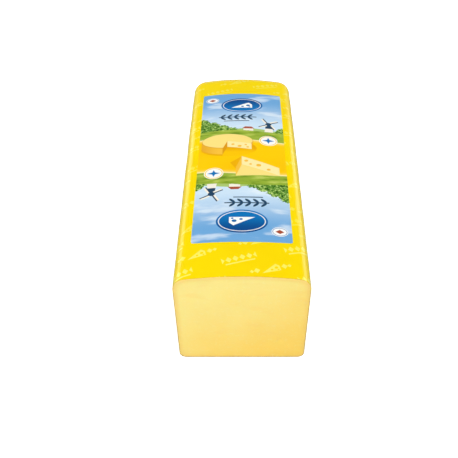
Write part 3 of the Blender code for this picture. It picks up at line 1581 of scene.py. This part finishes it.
@dataclass
class TopLabel(SubAssembly):
    """The label: a thin sheet with rounded corners and bowed ends, stuck down on the film."""

    low: Vector
    high: Vector
    finish: LabelFinish
    corner_radius: float = 0.0015
    end_bow: float = 0.001
    cell: float = 0.003
    thickness: float = 0.0001
    lift: float = 0.00004

    @property
    def centre(self) -> Vector:
        """Middle of the label."""
        return (self.low + self.high) / 2

    def build(self, film: Piece) -> Piece:
        """Model the label.

        Args:
            film: The film that it is stuck on.

        Returns:
            The finished piece.
        """
        size = self.high - self.low
        place = Vector((self.centre.x, self.centre.y, self.high.z + 10 * MM))
        columns, rows = round(size.x / self.cell), round(size.y / self.cell)
        bench = Bench("label", (columns, rows), place, (size.x, size.y, 1.0), 0.0)
        edge_x, edge_y = size.x / 2 - self.cell / 4, size.y / 2 - self.cell / 4
        bench.pick(Part.POINTS, lambda at: abs(at.x - place.x) > edge_x and abs(at.y - place.y) > edge_y)
        bpy.ops.mesh.bevel(offset=self.corner_radius, segments=5, affect="VERTICES")
        for column in range(columns // 2 + 1):
            x = size.x / 2 - column * size.x / columns
            bench.pick(Part.POINTS, lambda at, x=x: abs(abs(at.x) - x) < size.x / columns / 2)
            drawn_back = 2 * self.end_bow / size.y * (2 * x / size.x) ** 2
            bench.stretch((1.0, 1 - drawn_back, 1.0), tuple(place))
        piece = bench.close()
        lay_on(piece, film, "z", self.lift)
        thicken(piece, self.thickness, 1.0)
        return piece

    def dress(self, piece: Piece) -> None:
        """Give the label its print."""
        piece.data.materials.append(self.finish.make(self.centre))


# ---- The studio ----


@dataclass(frozen=True)
class Softbox:
    """One area light: its place, its size, its power, and whether glossy film mirrors it."""

    name: str
    place: Triple
    size: tuple[float, float]
    power: float
    mirrored: bool = True

    def build(self, aim: Vector) -> None:
        """Stand the light up.

        Args:
            aim: The point that it is turned to.
        """
        lamp = bpy.data.lights.new(self.name, "AREA")
        lamp.shape = "RECTANGLE"
        lamp.size, lamp.size_y = self.size
        lamp.energy = self.power
        light = bpy.data.objects.new(self.name, lamp)
        light.location = self.place
        light.rotation_euler = (aim - Vector(self.place)).to_track_quat("-Z", "Y").to_euler()
        light.visible_glossy = self.mirrored
        bpy.context.scene.collection.objects.link(light)


@dataclass(frozen=True)
class Studio:
    """Pale floor, soft lights and the camera.

    The floor is a light table: it shines white up to the eye, and throws little light back on the block.
    """

    cut_y: float
    aim_height: float = 0.05
    camera_behind_cut: float = 0.2996
    camera_height: float = 0.4087
    camera_pitch: float = 47.96
    lens: float = 48.52
    shift: float = -0.0281
    floor_size: float = 8.0
    floor_tone: float = 0.97
    floor_bounce: float = 0.28
    floor_glow: float = 0.4
    dim_surround: float = 0.05
    bright_surround: float = 0.48
    surround_band: tuple[float, float] = (0.12, 0.40)
    key_strength: float = 2.55
    key_spread: float = 50.0
    key_turn: tuple[float, float] = (35.0, 2.0)
    boxes: tuple[Softbox, ...] = (
        Softbox("left_strip", (-0.88, 0.85, 0.30), (0.7, 0.5), 1.7),
        Softbox("right_strip", (0.88, 0.85, 0.30), (0.7, 0.5), 1.7),
        Softbox("left_fill", (-1.6, 0.1, 0.22), (1.6, 0.4), 4.8, mirrored=False),
        Softbox("right_fill", (1.6, 0.1, 0.22), (1.6, 0.4), 4.8, mirrored=False),
        Softbox("back_fill", (0.0, 1.8, 0.22), (1.2, 0.4), 5.0, mirrored=False),
        Softbox("front_fill", (-0.25, -1.6, 0.55), (1.2, 0.8), 8.5),
        Softbox("top_fill", (0.0, 0.4, 1.8), (1.2, 0.9), 5.2),
    )

    def build(self) -> None:
        """Build the floor, the lights and the camera."""
        self._floor()
        self._world()
        self._key()
        for box in self.boxes:
            box.build(Vector((0.0, 0.0, self.aim_height)))
        self._camera()

    def _floor(self) -> None:
        """Lay the pale floor."""
        bpy.ops.mesh.primitive_plane_add(size=self.floor_size, location=(0.0, 0.0, 0.0))
        floor = bpy.context.object
        floor.name = "studio_floor"
        coat = Coat("studio_floor", Emission_Color=(1.0, 1.0, 1.0), Roughness=0.9, Specular_IOR_Level=0.0)
        seen = coat.w.source("LightPath", "Is Camera Ray")
        bounce, tone = ((grey, grey, grey) for grey in (self.floor_bounce, self.floor_tone))
        colour = coat.w.blend(seen, bounce, tone)
        coat.w.fill(coat.shader, Base_Color=colour, Emission_Strength=seen * self.floor_glow)
        floor.data.materials.append(coat.material)

    def _world(self) -> None:
        """Surround the block: bright low down, dim overhead, and plain white to the eye."""
        world = bpy.data.worlds.new("studio_surround")
        world.use_nodes = True
        w = Wiring(world.node_tree)
        low, high = self.surround_band
        near_horizon = w.step(w.axes(w.source("TexCoord", "Generated"))[2], high, low)
        glow = near_horizon * (self.bright_surround - self.dim_surround) + self.dim_surround
        seen = w.source("LightPath", "Is Camera Ray")
        w.fill(w.tree.nodes["Background"], Color=(1.0, 1.0, 1.0), Strength=w.either(glow, seen))
        bpy.context.scene.world = world

    def _key(self) -> None:
        """Hang the broad key light, above and in front."""
        lamp = bpy.data.lights.new("key_light", "SUN")
        lamp.energy = self.key_strength
        lamp.angle = math.radians(self.key_spread)
        light = bpy.data.objects.new("key_light", lamp)
        tilt, turn = self.key_turn
        light.rotation_euler = (math.radians(tilt), 0.0, math.radians(turn))
        bpy.context.scene.collection.objects.link(light)

    def _camera(self) -> None:
        """Stand the camera in front of the cut, looking down on the block."""
        lens = bpy.data.cameras.new("camera")
        lens.lens = self.lens
        lens.shift_x = self.shift
        camera = bpy.data.objects.new("camera", lens)
        camera.location = (0.0, self.cut_y - self.camera_behind_cut, self.camera_height)
        camera.rotation_euler = (math.radians(self.camera_pitch), 0.0, 0.0)
        bpy.context.scene.collection.objects.link(camera)
        bpy.context.scene.camera = camera
        bpy.context.scene.view_settings.view_transform = "Standard"


# ---- Putting it together ----


def set_down(assembly: SubAssembly, node: str | None = None, film: Piece | None = None) -> Piece:
    """Build and dress a piece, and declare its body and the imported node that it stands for.

    Args:
        assembly: What builds and dresses it.
        node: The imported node, where the piece replaces one.
        film: The film, where the piece lies on it.

    Returns:
        The finished piece.
    """
    piece = assembly.build(film) if film else assembly.build()
    assembly.dress(piece)
    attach(piece, "root")
    if node:
        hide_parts(node)
    faces = len(piece.data.polygons)
    log.info("%s: %d faces, stands for %s", piece.name, faces, node or "nothing packed")
    return piece


def main() -> None:
    """Build the block's pieces in order, then the studio."""
    logging.basicConfig(level=logging.INFO, format="%(name)s: %(message)s")
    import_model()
    effects = Effects()
    outer = LoafForm.from_frame("film_wrap")

    set_down(CheeseBody(outer.drawn_in(CHEESE_INSET), CheeseFinish()), "cheese_block")
    wrap = FilmWrap(outer.drawn_in(FILM_INSET), FilmFinish(effects))
    film = set_down(wrap, "film_wrap")
    set_down(EndSeal(outer, FilmFinish(effects, printed=False)), film=film)
    label = TopLabel(*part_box("top_label"), LabelFinish(effects))
    set_down(label, "top_label", film)

    Studio(outer.cut_y).build()


if __name__ == "__main__":
    main()
